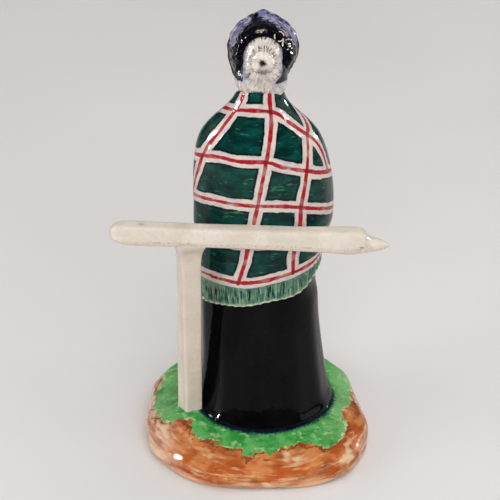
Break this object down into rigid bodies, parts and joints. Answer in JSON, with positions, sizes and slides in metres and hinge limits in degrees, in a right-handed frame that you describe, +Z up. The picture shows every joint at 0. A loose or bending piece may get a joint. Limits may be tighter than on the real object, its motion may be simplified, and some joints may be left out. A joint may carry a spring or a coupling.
{
  "type": "old woman figurine",
  "caption": "Glazed pottery figurine of an old woman in bonnet and plaid shawl, standing on a grassy mound beside a finger post; a shelf ornament.",
  "frame": {"origin": "on the underside of the mound, below the middle of the skirt's hem", "axes": "+Z up through the figure, +Y the way she faces, +X to her right, along the finger post's arm towards its pointing end"},
  "size_m": [0.1062, 0.094, 0.1729],
  "materials": {
    "glazed_earthenware": "painted under a clear glossy glaze"
  },
  "bodies": {
    "root": {"figurine": "glazed_earthenware"}
  },
  "joints": []
}
